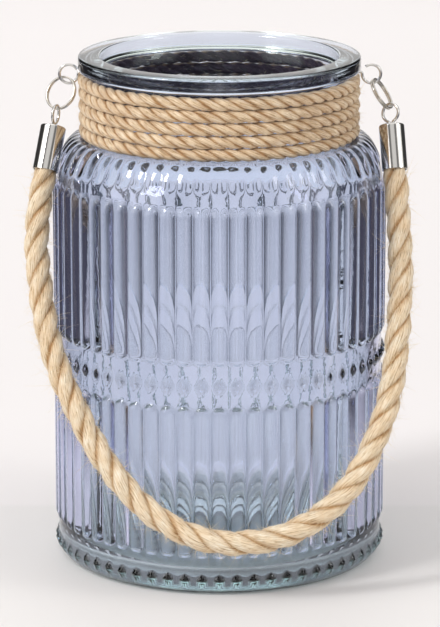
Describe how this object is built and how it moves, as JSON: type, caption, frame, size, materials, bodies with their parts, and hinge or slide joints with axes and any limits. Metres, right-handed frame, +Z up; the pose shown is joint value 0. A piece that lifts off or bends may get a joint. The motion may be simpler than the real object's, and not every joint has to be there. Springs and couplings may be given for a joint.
{
  "type": "mason jar lantern",
  "caption": "Ribbed pressed-glass jar lantern with a rope-wrapped neck and a rope handle hung on wire eyes, split rings and metal rope caps.",
  "frame": {"origin": "centre of the jar's foot, on the surface it stands on", "axes": "+Z up along the jar's axis, -Y to the front where the handle hangs, +X to the right seen from the front"},
  "size_m": [0.1877, 0.1775, 0.25],
  "materials": {
    "blue_glass": "glossy",
    "jute": "matte",
    "nickel": "polished",
    "steel_wire": "satin"
  },
  "bodies": {
    "jar": {"glass_jar": "blue_glass", "neck_rope": "jute", "neck_wire": "steel_wire"},
    "left_ring": {"left_split_ring": "nickel"},
    "right_ring": {"right_split_ring": "nickel"},
    "handle": {"left_cap_eye": "nickel", "right_cap_eye": "nickel", "left_rope_cap": "nickel", "right_rope_cap": "nickel", "handle_rope": "jute"}
  },
  "joints": [
    {"name": "left_ring_swing", "type": "hinge", "parent": "jar", "child": "left_ring", "pos_m": [0, -0.0019, 0.23602], "axis": [-1, 0, 0], "range_deg": [0, 85]},
    {"name": "right_ring_swing", "type": "hinge", "parent": "jar", "child": "right_ring", "pos_m": [0, -0.0019, 0.23602], "axis": [-1, 0, 0], "range_deg": [0, 85]},
    {"name": "handle_swing", "type": "hinge", "parent": "left_ring", "child": "handle", "pos_m": [0, -0.00684, 0.22439], "axis": [-1, 0, 0], "range_deg": [0, 72]}
  ],
  "couplings": [
    {"joint": "right_ring_swing", "follows": "left_ring_swing", "ratio": 1}
  ]
}
